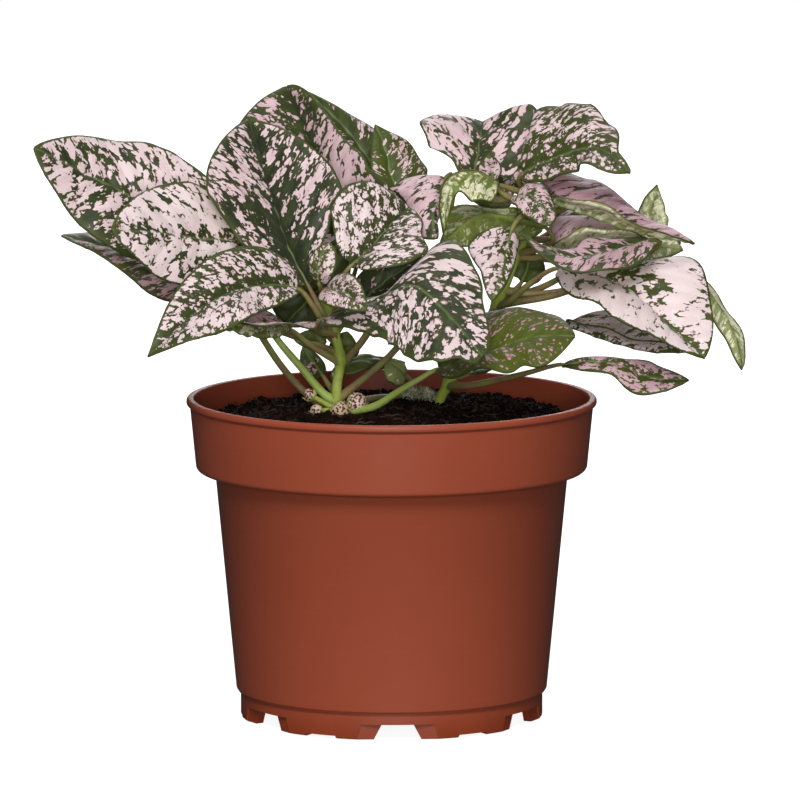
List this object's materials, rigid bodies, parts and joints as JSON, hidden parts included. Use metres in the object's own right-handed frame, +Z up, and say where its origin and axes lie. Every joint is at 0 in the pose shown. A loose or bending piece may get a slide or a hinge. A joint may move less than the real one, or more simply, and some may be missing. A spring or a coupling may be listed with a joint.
{
  "type": "potted foliage plant",
  "caption": "Leafy houseplant with speckled pink and green leaves on thin branching stems, rooted in soil in a tapered round nursery pot with a deep collar and notched foot.",
  "frame": {"origin": "on the pot's axis, on the level surface that the pot stands on", "axes": "+Z up out of the pot, +X to the right along the plant's widest spread as seen from the front, +Y away from the front"},
  "size_m": [0.2078, 0.12, 0.1825],
  "materials": {
    "pot": "satin terracotta-coloured moulded plastic",
    "soil": "rough, crumbly and matt",
    "stem": "smooth soft green stalk with a dull sheen",
    "leaf": "soft satin leaf, pink speckled on dark green"
  },
  "bodies": {
    "root": {"pot": "pot", "soil": "soil", "stem_left": "stem", "stem_right": "stem", "leaf_far_left": "leaf", "leaf_far_left_lower": "leaf", "leaf_left_pale": "leaf", "leaf_left_upright": "leaf", "leaf_front_left": "leaf", "leaf_front_left_lower": "leaf", "leaf_centre_round": "leaf", "leaf_young_upright": "leaf", "leaf_young_front": "leaf", "leaf_top_left": "leaf", "leaf_top_back": "leaf", "leaf_top_folded": "leaf", "leaf_centre_mauve": "leaf", "leaf_centre_hooked": "leaf", "leaf_front_centre": "leaf", "leaf_top_waved": "leaf", "leaf_top_right": "leaf", "leaf_right_long": "leaf", "leaf_right_inner": "leaf", "leaf_right_hooked": "leaf", "leaf_right_pale": "leaf", "leaf_far_right": "leaf", "leaf_right_back_small": "leaf", "leaf_right_low_folded": "leaf", "leaf_front_right": "leaf", "leaf_right_low_twisted": "leaf", "leaf_low_green": "leaf", "leaf_centre_underside": "leaf", "leaf_centre_hanging": "leaf", "leaf_young_top": "leaf", "leaf_young_right": "leaf", "leaf_inner_green": "leaf", "leaf_right_behind_pale": "leaf", "leaf_low_back_green": "leaf", "leaf_low_back_pale": "leaf", "leaf_low_grey": "leaf", "leaf_inner_middle": "leaf", "leaf_inner_left": "leaf", "leaf_back_left": "leaf", "leaf_back_left_low": "leaf", "leaf_back_middle": "leaf", "leaf_back_centre": "leaf", "leaf_back_right": "leaf", "leaf_back_far_right": "leaf"}
  },
  "joints": []
}
